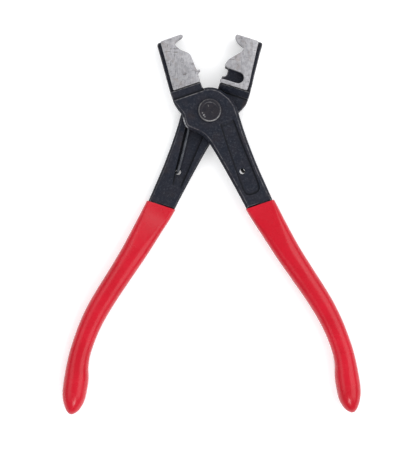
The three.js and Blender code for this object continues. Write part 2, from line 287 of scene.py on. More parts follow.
# ---------- Procedural materials ----------
class Recipe:
    """One material: a Principled shader and the textures that feed it, in object space."""

    def __init__(self, name):
        self.material = bpy.data.materials.new(name)
        self.material.use_nodes = True
        self.tree = self.material.node_tree
        self.shader = self.tree.nodes["Principled BSDF"]
        self.place = self.tree.nodes.new("ShaderNodeTexCoord").outputs["Object"]

    def set(self, **values):
        """Uniform values of the shader, by socket name."""
        for name, value in values.items():
            self.shader.inputs[name.replace("_", " ")].default_value = value

    def link(self, source, target):
        """Feeds a socket from another one, or sets it to a value."""
        if isinstance(source, bpy.types.NodeSocket):
            self.tree.links.new(source, target)
        else:
            target.default_value = source

    def stretched(self, scale, turn=0):
        """Object coordinates stretched along an axis and turned in plan, for directional marks."""
        node = self.tree.nodes.new("ShaderNodeMapping")
        node.inputs["Rotation"].default_value = (0, 0, turn)
        node.inputs["Scale"].default_value = scale
        self.tree.links.new(self.place, node.inputs["Vector"])
        return node.outputs["Vector"]

    def noise(self, grain, detail=3, rough=0.55, place=None):
        """Noise whose features are about grain millimetres across."""
        node = self.tree.nodes.new("ShaderNodeTexNoise")
        node.inputs["Scale"].default_value = 1 / (grain * MM)
        node.inputs["Detail"].default_value = detail
        node.inputs["Roughness"].default_value = rough
        self.tree.links.new(place or self.place, node.inputs["Vector"])
        return node.outputs[0]

    def ramp(self, value, low, high, to_low=0.0, to_high=1.0):
        """A smooth step from to_low at low to to_high at high."""
        node = self.tree.nodes.new("ShaderNodeMapRange")
        node.interpolation_type = "SMOOTHSTEP"
        for socket, number in zip(list(node.inputs)[1:5], (low, high, to_low, to_high)):
            socket.default_value = number
        self.link(value, node.inputs[0])
        return node.outputs[0]

    def math(self, kind, a, b=0.0):
        node = self.tree.nodes.new("ShaderNodeMath")
        node.operation = kind
        self.link(a, node.inputs[0])
        self.link(b, node.inputs[1])
        return node.outputs[0]

    def mix(self, share, a, b):
        """Colour a where share is 0 and b where it is 1."""
        node = self.tree.nodes.new("ShaderNodeMix")
        node.data_type = "RGBA"
        self.link(share, node.inputs[0])
        for source, target in ((a, node.inputs[6]), (b, node.inputs[7])):
            self.link((*source, 1) if isinstance(source, tuple) else source, target)
        return node.outputs[2]

    def attribute(self, name):
        """The number stored for each point of the mesh under this name."""
        node = self.tree.nodes.new("ShaderNodeAttribute")
        node.attribute_name = name
        return node.outputs["Fac"]

    def bump(self, height, strength, depth, under=None):
        """Bump of a depth in millimetres, on top of another bump."""
        node = self.tree.nodes.new("ShaderNodeBump")
        node.inputs["Strength"].default_value = strength
        node.inputs["Distance"].default_value = depth * MM
        self.link(height, node.inputs["Height"])
        if under is not None:
            self.link(under, node.inputs["Normal"])
        return node.outputs["Normal"]

    def feed(self, name, source):
        self.tree.links.new(source, self.shader.inputs[name])


def black_oxide():
    """Blackened forged steel: mottled blue-black scale, brownish patches, rubbed edges, painted
    shade in creases and near-white painted highlights where scuffs are marked.
    """
    make = Recipe("black_oxide")
    make.set(Metallic=0.08, Specular_IOR_Level=0.14)
    mottle = make.ramp(make.noise(5.0, 4, 0.6), 0.35, 0.68)
    scale = make.mix(mottle, (0.0090, 0.0115, 0.0195), (0.0155, 0.0155, 0.0225))
    rusty = make.ramp(make.noise(8.5, 3, 0.5), 0.56, 0.74)
    scale = make.mix(make.math("MULTIPLY", rusty, 0.55), scale, (0.0270, 0.0200, 0.0200))
    speckle = make.ramp(make.noise(0.8, 4, 0.75), 0.48, 0.74)
    scale = make.mix(make.math("MULTIPLY", speckle, 0.75), scale, (0.048, 0.051, 0.062))
    pits = make.ramp(make.noise(1.0, 3, 0.7), 0.30, 0.46, 1.0, 0.0)
    scale = make.mix(make.math("MULTIPLY", pits, 0.7), scale, (0.004, 0.005, 0.008))
    # Painted shade: points lying in a crease are darkened towards near-black.
    painted_crease_shade = make.math("MULTIPLY", make.attribute("painted_crease_shade"), 0.9)
    scale = make.mix(painted_crease_shade, scale, (0.006, 0.007, 0.009))
    rubbed = make.ramp(make.attribute("edge"), 0.35, 0.85)
    broken = make.ramp(make.noise(1.9, 4, 0.65), 0.34, 0.64, 0.15, 1.0)
    rub = make.math("MULTIPLY", rubbed, broken)
    scale = make.mix(rub, scale, (0.135, 0.130, 0.135))
    # Near-white where the scuff attribute is set: a painted highlight by the rear spring hole, and
    # rubbed metal painted bright as a highlight along the front waist.
    make.feed("Base Color", make.mix(make.attribute("scuff"), scale, (0.75, 0.75, 0.76)))
    roughness = make.ramp(make.noise(0.9, 3, 0.6), 0.3, 0.7, 0.46, 0.64)
    make.feed("Roughness", make.math("SUBTRACT", roughness, make.math("MULTIPLY", rub, 0.12)))
    coarse = make.bump(make.noise(2.4, 4, 0.6), 0.45, 0.10)
    make.feed("Normal", make.bump(make.noise(0.35, 3, 0.7), 0.5, 0.035, coarse))
    return make.material


def ground_steel():
    """Ground jaw plate: fine lay of the wheel, mottling, small scuffs and faint stains."""
    make = Recipe("ground_steel")
    make.set(Metallic=0.40, Specular_IOR_Level=0.4)
    base = make.mix(make.ramp(make.noise(1.5, 4, 0.65), 0.34, 0.66),
                    (0.255, 0.250, 0.264), (0.375, 0.370, 0.385))
    grain = make.ramp(make.noise(0.34, 3, 0.75), 0.36, 0.66)
    base = make.mix(make.math("MULTIPLY", grain, 0.38), base, (0.175, 0.172, 0.184))
    lay = make.noise(0.30, 2, 0.6, make.stretched((1.0, 0.07, 1.0), 0.4))
    base = make.mix(make.ramp(lay, 0.42, 0.70, 0.0, 0.45), base, (0.50, 0.495, 0.50))
    scuff = make.noise(0.9, 3, 0.6, make.stretched((1.0, 0.35, 1.0), -0.7))
    base = make.mix(make.ramp(scuff, 0.60, 0.69, 0.0, 0.75), base, (0.11, 0.108, 0.12))
    scratch = make.noise(0.55, 2, 0.5, make.stretched((0.16, 1.0, 1.0), -0.35))
    base = make.mix(make.ramp(scratch, 0.615, 0.70, 0.0, 0.65), base, (0.10, 0.085, 0.080))
    stain = make.ramp(make.noise(3.6, 4, 0.6), 0.54, 0.72, 0.0, 0.5)
    base = make.mix(stain, base, (0.235, 0.195, 0.175))
    make.feed("Base Color", base)
    make.feed("Roughness", make.ramp(make.noise(0.8, 3, 0.6), 0.3, 0.7, 0.40, 0.56))
    wheel = make.bump(lay, 0.5, 0.015)
    make.feed("Normal", make.bump(make.noise(0.5, 3, 0.7), 0.5, 0.03, wheel))
    return make.material


def rivet_steel():
    """Blackened rivet head, its rim polished by use, with painted highlights brightening the rim
    at the bottom and upper left and along the dish's top arc.
    """
    make = Recipe("rivet_steel")
    make.set(Metallic=0.10, Specular_IOR_Level=0.16)
    scale = make.mix(make.ramp(make.noise(2.2, 4, 0.6), 0.35, 0.65),
                     (0.0100, 0.0100, 0.0155), (0.0175, 0.0155, 0.0195))
    speckle = make.ramp(make.noise(0.4, 3, 0.7), 0.50, 0.76)
    scale = make.mix(make.math("MULTIPLY", speckle, 0.35), scale, (0.075, 0.073, 0.083))
    wear_and_highlight = make.ramp(make.noise(0.8, 4, 0.65), 0.32, 0.60, 0.35, 1.0)
    # The edge attribute holds rubbed wear and painted highlight together; both go into the base
    # colour here.
    rub = make.math("MINIMUM", make.math("MULTIPLY", make.attribute("edge"), wear_and_highlight), 1.0)
    make.feed("Base Color", make.mix(rub, scale, (0.46, 0.45, 0.45)))
    make.feed("Roughness", make.math("SUBTRACT", 0.50, make.math("MULTIPLY", rub, 0.15)))
    coarse = make.bump(make.noise(1.8, 3, 0.6), 0.4, 0.06)
    make.feed("Normal", make.bump(make.noise(0.3, 3, 0.7), 0.5, 0.03, coarse))
    return make.material


def spring_wire():
    """Drawn and blackened spring wire, brighter along its length where it rubs, its ends painted
    near-black as shade.
    """
    make = Recipe("spring_wire")
    make.set(Specular_IOR_Level=0.2)
    drawn = make.noise(0.25, 3, 0.6, make.stretched((1.0, 0.12, 1.0), 0.3))
    tone = make.mix(make.ramp(drawn, 0.35, 0.7), (0.045, 0.048, 0.058), (0.105, 0.109, 0.12))
    dull = make.ramp(make.noise(2.5, 3, 0.6), 0.45, 0.65, 0.0, 0.7)
    tone = make.mix(dull, tone, (0.030, 0.031, 0.038))
    # Painted shade: the wire's ends, deep in the holes, are made near-black and lose their metal
    # sheen.
    end_shade = make.attribute("painted_end_shade")
    make.feed("Base Color", make.mix(end_shade, tone, (0.003, 0.003, 0.004)))
    make.feed("Metallic", make.ramp(end_shade, 0.0, 1.0, 0.7, 0.0))
    make.feed("Roughness", make.ramp(drawn, 0.3, 0.7, 0.28, 0.42))
    make.feed("Normal", make.bump(drawn, 0.3, 0.01))
    return make.material


def red_pvc():
    """Dipped PVC: glossy, with faint clouding and a slightly rippled skin."""
    make = Recipe("red_pvc")
    make.set(Metallic=0.0, Specular_IOR_Level=0.30)
    cloud = make.ramp(make.noise(16, 3, 0.5), 0.35, 0.68)
    tone = make.mix(cloud, (0.455, 0.0025, 0.0130), (0.515, 0.0045, 0.0180))
    fine = make.ramp(make.noise(1.1, 4, 0.65), 0.36, 0.68)
    tone = make.mix(make.math("MULTIPLY", fine, 0.15), tone, (0.540, 0.012, 0.028))
    make.feed("Base Color", tone)
    make.feed("Roughness", make.ramp(make.noise(6, 3, 0.55), 0.3, 0.7, 0.22, 0.30))
    ripple = make.bump(make.noise(9.0, 2, 0.4), 0.10, 0.10)
    make.feed("Normal", make.bump(make.noise(0.7, 3, 0.6), 0.10, 0.005, ripple))
    return make.material


def floor_paint():
    """White light table, glowing faintly, with the faintest unevenness."""
    make = Recipe("floor_paint")
    make.set(Metallic=0.0, Specular_IOR_Level=0.1, Roughness=0.9)
    make.set(Emission_Color=(1.0, 1.0, 1.0, 1.0), Emission_Strength=0.34)
    uneven = make.noise(160, 2, 0.5)
    make.feed("Base Color", make.mix(uneven, (0.78, 0.78, 0.78), (0.81, 0.81, 0.81)))
    return make.material


# ---------- Arms ----------
def lap_outline():
    """The lap and handle of the front arm: jaw on the left, handle to the lower right."""
    left = spline([
        (-13.9, DISC_STEP_Y), (-13.7, 7.2), (-13.0, 4.6), (-12.1, 2.0), (-12.4, -1.4),
        (-12.0, -3.8), (-10.4, -5.5), (-8.2, -7.4), (-6.3, -9.7), (-5.0, -12.6), (-3.9, -17),
        (-2.4, -24.3), (-0.8, -33), (0.5, -40.4), (1.45, HANDLE_END_Y),
    ])
    right = spline([
        (13.5, HANDLE_END_Y), (13.0, -41), (12.0, -30), (11.5, -20), (11.4, -12), (11.6, -5),
        (11.5, -1.2), (10.4, 2.6),
    ])
    top = math.degrees(math.acos(0.3 / DISC_RADIUS))
    disc = arc((0, 0), DISC_RADIUS, 31, top, 40)
    return left + right + disc + [(0.3, DISC_STEP_Y)]


def pocket_outline(draft=0.0):
    """The long pocket's edge, drawn outwards by a draft except at its top."""
    sides = spline([
        (2.5, POCKET_TOP_Y), (2.3, -16), (2.4, -26), (2.8, -38.2), (4.2, -40.3), (6.4, -40.7),
        (8.8, -40.1), (9.8, -37.6), (9.4, -28), (8.8, -18), (8.6, POCKET_TOP_Y),
    ])
    return [tuple(p) for p in inset(sides, -draft)]


LAP_PROFILE = [
    (0.0, 1.05), (0.70, 0.35), (1.05, 0.12), (1.50, 0.0), (3.30, 0.0), (3.75, 0.12),
    (4.10, 0.35), (LAP_THICKNESS, 1.15),
]
RECESS_ROOM = [
    (8.0, 0), (8.0, -9), (6.8, -24), (6.2, RECESS_END_Y), (0.95, RECESS_END_Y), (0.1, -21.8),
    (-0.8, -12.8), (-1.2, 0),
]
RECESS_RUNOUT = [
    (6.2, RECESS_END_Y), (5.4, RUNOUT_END_Y), (1.6, RUNOUT_END_Y), (0.95, RECESS_END_Y),
]


def round_bar(radius, low, high, centre=(0, 0), steps=72):
    """An upright cylinder."""
    return prism(arc(centre, radius, 0, 360 - 360 / steps, steps - 1), low, high)


def spring_room():
    """Cutters for the spring in the mating face: groove round the hub, recess, run-out."""
    groove = round_bar(GROOVE_RADIUS, -PAST, GROOVE_DEPTH)
    recess = prism(RECESS_ROOM, -PAST, GROOVE_DEPTH)
    depth = {RECESS_END_Y: GROOVE_DEPTH, RUNOUT_END_Y: RUNOUT_END_DEPTH}
    runout = loft([
        [(x, y, -PAST) for x, y in RECESS_RUNOUT],
        [(x, y, depth[y]) for x, y in RECESS_RUNOUT],
    ])
    round_hub = [
        combine("DIFFERENCE", room, round_bar(HUB_RADIUS, -2 * PAST, LAP_THICKNESS))
        for room in (groove, recess)
    ]
    return round_hub + [runout]


def handle_stub():
    """The handle just inside the grip's mouth, where the flat bar turns into a round core."""
    rings = handle_rings(inset_top=0.75, inset_low=1.2, start=0.0, end=3.2, rings=14, sides=48)
    return loft(rings)


def lap_solid():
    """An arm's lap with its mating face at height 0; the pocket's top end runs out softly."""
    blank = profiled_prism(lap_outline(), LAP_PROFILE, step_y=DISC_STEP_Y)
    floor = LAP_THICKNESS - POCKET_DEPTH
    rim = LAP_THICKNESS + 0.3
    run = {True: POCKET_RUNOUT, False: 0}
    pocket = loft([
        [(x, y, floor) for x, y in pocket_outline()],
        [(x, y + run[y > POCKET_RUNOUT_FROM_Y], rim) for x, y in pocket_outline(POCKET_DRAFT)],
    ])
    hole = round_bar(SPRING_HOLE_RADIUS, -PAST, LAP_THICKNESS + PAST, SPRING_HOLE, 32)
    bore = round_bar(RIVET_HOLE_RADIUS, -PAST, LAP_THICKNESS + PAST)
    return combine("DIFFERENCE", blank, pocket, *spring_room(), hole, bore)


def disc_room(low, high):
    """Space that the other arm's hinge disc turns in."""
    corners = [(-CLEAR, -CLEAR), (CLEAR, -CLEAR), (CLEAR, SHOULDER_Y), (-CLEAR, SHOULDER_Y)]
    below = prism(corners, low, high)
    return [round_bar(SHOULDER_RADIUS, low, high), below]


def jaw_body(seat, strip, band):
    """A jaw's solids: the seat under its plate, the strip beside it and the raised band."""
    return [
        prism(inset(seat, SEAT_INSET), JAW_BOTTOM, SEAT_Z),
        prism(strip, JAW_BOTTOM, SEAT_Z),
        prism(band, JAW_BOTTOM, BAND_TOP),
    ]


def front_plate_outline():
    hook = spline([
        (-1.4, 34.1), (-3.2, 33.7), (-4.5, 33.1), (-5.1, 32.2), (-4.7, 31.2), (-3.9, 29.8),
        (-2.7, 28.5), (-1.3, 27.4), (-0.5, 26.4), (-0.05, 25.2),
    ])
    tooth = spline([
        (0.25, 19.3), (0.7, 18.6), (1.5, 18.45), (1.75, 18.1), (1.5, 17.7), (0.9, 17.3),
        (0.25, 17.0),
    ], 4)
    tip = [(-10.8, 34.9), (-10.3, 35.5), (-1.3, 35.6), (-0.65, 35.2), (-0.6, 34.6)]
    root = [(0.25, 13.8), (-0.2, 13.4), (-11.9, 13.4), (-12.2, 13.8), (-11.3, 26.3)]
    return tip + hook + tooth + root


def rear_plate_outline(slotted):
    """With its slot, the edge runs in from below the hook and back out to the lip."""
    hook = spline([
        (0.7, 34.4), (1.0, 33.5), (1.7, 32.7), (2.5, 32.1), (3.7, 31.6), (5.0, 31.1),
        (5.7, 30.4), (5.6, 29.6), (5.1, 28.6), (4.2, 27.5), (2.5, 25.6), (1.1, 23.9),
        (0.4, 22.3), (0.1, 21.1),
    ])
    root = [(0.2, 13.9), (0.7, 13.2), (12.4, 13.4)]
    outer = spline([(12.85, 13.9), (12.8, 16.8), (12.35, 21.0), (11.95, 25.5), (11.45, 30.6),
                    (11.1, 34.9)], 3)
    tip = [(10.6, 35.5), (1.3, 35.4), (0.8, 35.0)]
    return hook + slot_outline() * slotted + root + outer + tip


FRONT_STRIP = [
    (-13.8, 9.6), (-13.85, 12.7), (-13.4, 20.9), (-13.0, 27.3), (-12.6, 34.7), (-12.1, 35.4),
    (-11.2, 35.5), (-9, 35.2), (-9, 15), (-0.05, 15), (-0.05, 9.6),
]
FRONT_BAND = [(-13.0, 8), (-13.8, 9.6), (-13.85, 13.1), (0.25, 13.1), (0.25, 8)]
REAR_STRIP = [
    (14.5, 9.8), (14.55, 12.0), (14.2, 17.1), (13.8, 21.6), (13.5, 26.1), (13.2, 30.7),
    (13.1, 34.8), (12.6, 35.6), (11.3, 35.6), (9, 35.2), (9, 15), (0.65, 15), (0.65, 9.8),
]
REAR_BAND = [
    (12.2, 3.2), (13.3, 5.0), (14.3, 7.4), (14.55, 9.8), (14.55, 13.1), (9, 13.1), (0.4, 12.9),
    (0.4, 8), (8.8, 8), (10.6, 5),
]
SEAT_RELIEF = [(-1, 16.2), (0.7, 16.3), (1.8, 16.6), (2.2, 17.6), (2.2, 19.1), (1.9, 20.1),
               (-1, 20.4)]


def slot_outline():
    """The open slot's edge, from the hook's side in to its round end and out to the lip."""
    upper = spline([(0.1, 21.1), (1.1, 20.5), (2.3, 20.2)], 4)[1:]
    blind = arc((7.4, 17.55), 2.5, 90, -90, 24)
    lower = spline([(2.1, 15.0), (1.0, 14.95), (0.5, 14.65), (0.2, 14.4)], 3)
    return upper + blind + lower


def move(body, matrix):
    """The solid turned and shifted."""
    body.data.transform(matrix)
    return body


def front_arm():
    lap_low = MID_Z + LAP_GAP / 2
    lap = move(lap_solid(), Matrix.Translation((0, 0, lap_low)))
    stub = move(handle_stub(), Matrix.Translation((0, 0, lap_low)))
    jaw = [
        combine("DIFFERENCE", solid, *disc_room(-PAST, lap_low))
        for solid in jaw_body(front_plate_outline(), FRONT_STRIP, FRONT_BAND)
    ]
    return join(lap, stub, *jaw)


def band_slope():
    """Cutter that slopes the rear arm's band down to the shoulder round the hinge disc."""
    slope = [(13.3, BAND_TOP + 0.1), (8.5, BAND_TOP + 0.1), (8.5, 5.6)]
    return loft([[(x, y, z) for y, z in slope] for x in (-2, 16)])


def rear_arm():
    lap_high = MID_Z - LAP_GAP / 2
    turned = Matrix.Translation((0, 0, lap_high)) @ Matrix.Rotation(math.pi, 4, "Y")
    lap = move(lap_solid(), turned)
    stub = move(handle_stub(), turned)
    jaw = [
        combine("DIFFERENCE", solid, *disc_room(lap_high, CLEAR), band_slope(),
                prism(SEAT_RELIEF, 0, SEAT_Z + PAST))
        for solid in jaw_body(rear_plate_outline(False), REAR_STRIP, REAR_BAND)
    ]
    return join(lap, stub, *jaw)


# ---------- Jaw plates ----------
# Height and inset of each ring, with a fine chamfer at both faces.
PLATE_PROFILE = [
    (SEAT_Z + 0.02, 0.12), (SEAT_Z + 0.06, 0.04), (SEAT_Z + 0.14, 0.0),
    (PLATE_TOP - 0.14, 0.0), (PLATE_TOP - 0.05, 0.03), (PLATE_TOP, 0.11),
]


# ---------- Handles and grips ----------
# Stations down the handle: place in plan, height over the mating face, the grip's half width
# and half height, and how square its section is (2 is an ellipse).
STATIONS = [
    (7.55, -46.0, 2.45, 6.5, 3.15, 5.5),
    (8.45, -50.5, 2.2, 6.4, 3.6, 4.4),
    (9.7, -56.5, 1.3, 6.1, 4.2, 3.5),
    (12.25, -68.5, 0.2, 5.6, 4.9, 3.0),
    (15.4, -80.8, -0.05, 5.2, 5.15, 2.8),
    (17.9, -90.0, -0.05, 5.05, 5.2, 2.7),
    (19.95, -99.1, -0.05, 4.9, 5.1, 2.6),
    (21.1, -107.8, -0.05, 4.7, 4.95, 2.5),
    (21.4, -117.5, -0.05, 4.65, 4.9, 2.4),
    (20.75, -124.3, -0.05, 4.9, 5.25, 2.3),
    (19.45, -130.0, -0.05, 5.42, 5.8, 2.2),
    (18.6, -134.8, -0.05, 5.4, 6.0, 2.2),
    (17.8, -138.8, -0.05, 4.95, 5.4, 2.2),
    (17.3, -142.2, -0.05, 3.8, 4.2, 2.1),
    (17.1, -144.6, -0.05, 2.3, 2.6, 2.0),
    (17.0, -145.8, -0.05, 0.8, 0.8, 2.0),
]
MOUTH_Y = STATIONS[0][1]
STATION_STEPS = 40
GRIP_SIDES = 96
THIN_STATIONS = 3
MOUTH_STATIONS = 1.5
FLAT_STATIONS = 2.8
FLAT_OPENING = 0.3
FLAT_BLUR = 0.10
ROUND_HEIGHT = 4.5
ROUND_GROWTH = 0.133
SQUAREST = 2.8
ROUNDEST = 2.3
SQUARE_LOSS = 0.25
SKIN_INSET = 0.065
SWELL = 0.012
SWELL_PHASE = 6.28
MOUTH_FADE = 6


def soft_least(a, b, blur):
    """The lesser of two sizes, rounded off where they are nearly equal."""
    return np.minimum(a, b) - blur * np.exp(-np.abs(a - b) / blur) * math.log(2)


def handle_rings(inset_top, inset_low, start, end, rings, sides, square_mouth=False,
                 flat_faces=False):
    """Section rings between two stations, drawn in from the grip's surface.
    With square_mouth the first rings lean until the very first lies in the plane y = MOUTH_Y.
    With flat_faces the section is a rounder one cut off by the flats of the bar inside."""
    line = np.array(spline(STATIONS, STATION_STEPS))
    slope = np.gradient(line[:, :3], axis=0)
    around = np.linspace(0, 2 * math.pi, sides, endpoint=False)
    result = []
    for station in np.linspace(start, end, rings):
        index = station * STATION_STEPS
        x, y, z, width, height, square = [
            np.interp(index, np.arange(len(line)), line[:, k]) for k in range(6)
        ]
        tangent = np.array([np.interp(index, np.arange(len(line)), slope[:, k]) for k in range(2)])
        tangent /= np.linalg.norm(tangent)
        across = np.array([-tangent[1], tangent[0]])
        share = min(1, station / THIN_STATIONS)
        drawn_in = inset_top + (inset_low - inset_top) * share
        full = height
        if flat_faces:
            softened = SQUAREST - SQUARE_LOSS * max(0, station - MOUTH_STATIONS)
            square = min(square, max(ROUNDEST, softened))
            if station < THIN_STATIONS:
                full = max(height, ROUND_HEIGHT + ROUND_GROWTH * station)
        power = 2 / square
        u = np.sign(np.cos(around)) * np.abs(np.cos(around)) ** power * (width - drawn_in)
        v = np.sign(np.sin(around)) * np.abs(np.sin(around)) ** power * (full - drawn_in)
        if flat_faces:
            face = (height - drawn_in) * (1 + FLAT_OPENING * max(0, station - FLAT_STATIONS))
            v = np.sign(v) * soft_least(np.abs(v), face, FLAT_BLUR)
        px = x + across[0] * u
        py = y + across[1] * u
        if square_mouth:
            lean = max(0.0, 1 - station / MOUTH_STATIONS) ** 2
            slide = (MOUTH_Y - py) / tangent[1] * lean
            slide = slide + (y - MOUTH_Y) / tangent[1] * lean
            px = px + tangent[0] * slide
            py = py + tangent[1] * slide
        result.append(np.stack([px, py, z + v], 1))
    return result


def grip():
    """The dipped sleeve: outer skin from the tip to the mouth, round lip, and inner wall."""
    last = len(STATIONS) - 1
    bar = {"sides": GRIP_SIDES, "square_mouth": True, "flat_faces": True}
    outer = handle_rings(0.0, 0.0, start=0.0, end=last - 1.0, rings=190, **bar)
    tip = handle_rings(0.0, 0.0, start=last - 0.97, end=last, rings=26, sides=GRIP_SIDES)
    inner = handle_rings(inset_top=0.45, inset_low=1.1, start=0.0, end=2.2, rings=30, **bar)
    lip = handle_rings(0.2, 0.2, start=0.0, end=0.01, rings=2, **bar)[0]
    rings = inner[::-1] + [lip] + outer + tip
    return loft(rings)


def grip_skin(body, seed):
    """The uneven thickness of the dip: slow swells of a few hundredths of a millimetre."""
    place = coordinates(body.data)
    normals = np.empty(len(place) * 3)
    body.data.vertices.foreach_get("normal", normals)
    generator = np.random.default_rng(seed)
    swell = np.zeros(len(place))
    for _ in range(10):
        wave = generator.normal(0, 0.16, 3) * (1, 0.8, 1)
        swell += np.sin(place @ wave + generator.uniform(0, SWELL_PHASE)) * SWELL
    from_mouth = np.clip((MOUTH_Y - place[:, 1]) / MOUTH_FADE, 0, 1)
    moved = place - normals.reshape(-1, 3) * (SKIN_INSET + swell)[:, None] * from_mouth[:, None]
    body.data.vertices.foreach_set("co", moved.ravel())
    return body


# ---------- Rivet ----------
RIVET_SIDES = 128


def lathe(profile, sides):
    """A closed solid of revolution about Z from (radius, height) pairs, both ends on the axis."""
    shape = bmesh.new()
    rows = []
    for radius, height in profile[1:-1]:
        rows.append([
            shape.verts.new((radius * math.cos(a), radius * math.sin(a), height))
            for a in np.linspace(0, 2 * math.pi, sides, endpoint=False)
        ])
    for lower, upper in zip(rows, rows[1:]):
        for i in range(sides):
            j = (i + 1) % sides
            shape.faces.new((lower[i], lower[j], upper[j], upper[i]))
    for row, (_, height) in ((rows[0], profile[0]), (rows[-1], profile[-1])):
        pole = shape.verts.new((0, 0, height))
        for i in range(sides):
            shape.faces.new((row[i], row[(i + 1) % sides], pole))
    bmesh.ops.recalc_face_normals(shape, faces=shape.faces)
    mesh = bpy.data.meshes.new("turned")
    shape.to_mesh(mesh)
    shape.free()
    return new_object(mesh, "turned")


def rivet():
    """Both heads and the shank in one, the front face dished and the back one plain."""
    head = RIVET_RADIUS
    top = RIVET_TOP
    low = MID_Z + LAP_GAP / 2 + LAP_THICKNESS
    shank = RIVET_HOLE_RADIUS - 0.05
    under = [(0, 0), (1.5, 0.0), (3.0, 0.0), (head - 0.7, 0.02), (head - 0.25, 0.12),
             (head - 0.02, 0.4), (head - 0.02, JAW_BOTTOM - 0.02), (shank, JAW_BOTTOM - 0.02)]
    rim = [(shank, low + 0.02), (head - 0.3, low + 0.02), (head - 0.06, low + 0.2),
           (head - 0.02, low + 0.6), (head - 0.03, top - 0.85), (head - 0.14, top - 0.48),
           (head - 0.36, top - 0.22), (head - 0.66, top - 0.08), (head - 0.95, top - 0.05)]
    face = [(r, top - 0.05 + 0.05 * math.sin((r - 3.4) * 2.2) ** 2 * (r > 3.4))
            for r in np.linspace(head - 1.15, 3.7, 6)]
    dish = [(3.55, top - 0.04), (3.4, top - 0.16), (3.2, top - 0.2), (2.6, top - 0.18),
            (2.0, top - 0.17), (1.3, top - 0.16), (0.6, top - 0.15), (0, top - 0.15)]
    return lathe(under + rim + face + dish, RIVET_SIDES)


# Nicks in the front face: place in plan and width.
RIVET_NICKS = [(-2.6, -2.2, 0.55), (-2.1, -2.9, 0.45), (-3.2, -1.2, 0.35), (1.1, -1.0, 0.25),
               (-0.6, 1.8, 0.25), (-1.2, -2.0, 0.25)]


def mark_rivet_wear_and_highlight(mesh):
    """The rim is rubbed bright, with painted highlights making it brightest at the bottom and
    upper left and lighting the top arc of the dish, and the face has a few nicks.
    """
    x, y, z = coordinates(mesh).T
    radius = np.hypot(x, y)
    front = z > MID_Z
    rim = np.exp(-((radius - (RIVET_RADIUS - 0.3)) / 0.2) ** 2)
    # Painted highlight: the rim is brightened most towards the bottom and the upper left.
    painted_highlight_bottom = np.exp(-((np.degrees(np.arctan2(x, -y)) - 12) / 62) ** 2)
    painted_highlight_upper_left = np.exp(-((np.degrees(np.arctan2(y, -x)) - 25) / 50) ** 2)
    wear_and_highlight = rim * (0.10 + 0.85 * painted_highlight_bottom + 0.30 * painted_highlight_upper_left)
    # Painted highlight along the top arc of the dish's edge.
    painted_highlight_top_arc = np.exp(-((np.degrees(np.arctan2(x, y)) - 5) / 40) ** 2)
    wear_and_highlight = wear_and_highlight + 0.30 * painted_highlight_top_arc * np.exp(-((radius - 3.5) / 0.14) ** 2)
    for a, b, size in RIVET_NICKS:
        wear_and_highlight = wear_and_highlight + 0.9 * np.exp(-((x - a) ** 2 + (y - b) ** 2) / (size * 0.5) ** 2)
    store(mesh, "edge", np.clip(wear_and_highlight * front, 0, 1))


# ---------- Return spring ----------
END_TAPER = 0.93
PAINTED_SHADE_END_REACH = 2.2
COIL_STEPS = 28
WIRE_STEPS = 10
WIRE_SIDES = 18


def spring_path():
    """Up out of the rear arm's hole, round the rivet one and a bit turns, and down the front."""
    low, high = MID_Z - COIL_RISE / 2, MID_Z + COIL_RISE / 2
    x, y = SPRING_HOLE
    leg = [(x + 0.46, y - 0.28, 1.9), (x + 0.45, y - 0.27, 1.3), (x + 0.38, y - 0.05, 0.45),
           (x + 0.2, y + 1.0, 0), (5.35, -23, 0), (5.9, -16, 0), (6.4, -9.5, 0),
           (COIL_RADIUS, -5, 0), (COIL_RADIUS, -2, 0)]
    rear_turn = Matrix.Rotation(REAR_OPEN, 3, "Z")
    front_turn = Matrix.Rotation(FRONT_OPEN, 3, "Z")
    rear = [rear_turn @ Vector((-a, b, low - drop)) for a, b, drop in leg]
    front = [front_turn @ Vector((a, b, high + drop)) for a, b, drop in leg][::-1]
    start = math.pi + REAR_OPEN
    sweep = 3 * math.pi + REAR_OPEN - FRONT_OPEN
    coil = [
        Vector((COIL_RADIUS * math.cos(start - sweep * i / COIL_STEPS),
                COIL_RADIUS * math.sin(start - sweep * i / COIL_STEPS),
                low + COIL_RISE * i / COIL_STEPS))
        for i in range(COIL_STEPS + 1)
    ]
    return spline([tuple(p) for p in rear + coil + front], WIRE_STEPS)


def spring():
    """The wire swept along its path, its ends slightly chamfered."""
    path = np.array(spring_path())
    tangents = np.gradient(path, axis=0)
    tangents /= np.linalg.norm(tangents, axis=1)[:, None]
    side = np.cross(tangents[0], (0.3, 1, 0.2))  # any direction that isn't the wire's own
    around = np.linspace(0, 2 * math.pi, WIRE_SIDES, endpoint=False)
    rings = []
    for i, (point, along) in enumerate(zip(path, tangents)):
        side = side - along * np.dot(side, along)
        side /= np.linalg.norm(side)
        other = np.cross(along, side)
        at_end = i in (0, len(path) - 1)
        radius = WIRE_RADIUS * (END_TAPER if at_end else 1)
        ring = [point + radius * (side * math.cos(a) + other * math.sin(a)) for a in around]
        rings.append(ring)
    return loft(rings)


# ---------- Putting the pieces in the frame ----------
def place(body, name, turn, material, slot, rides, node):
    """Turns a finished piece to its arm's place, in metres, names it and hides the CAD node it
    replaces.
    """
    body.name = name
    body.data.name = name
    body.data.transform(Matrix.Scale(MM, 4) @ Matrix.Rotation(turn, 4, "Z"))
    body.data.materials.clear()
    body.data.materials.append(material)
    for polygon in body.data.polygons:
        polygon.use_smooth = True
    body.data.set_sharp_from_angle(angle=SHARP_ANGLE)
    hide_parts(node)
    if rides:
        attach(body, rides)
    return body


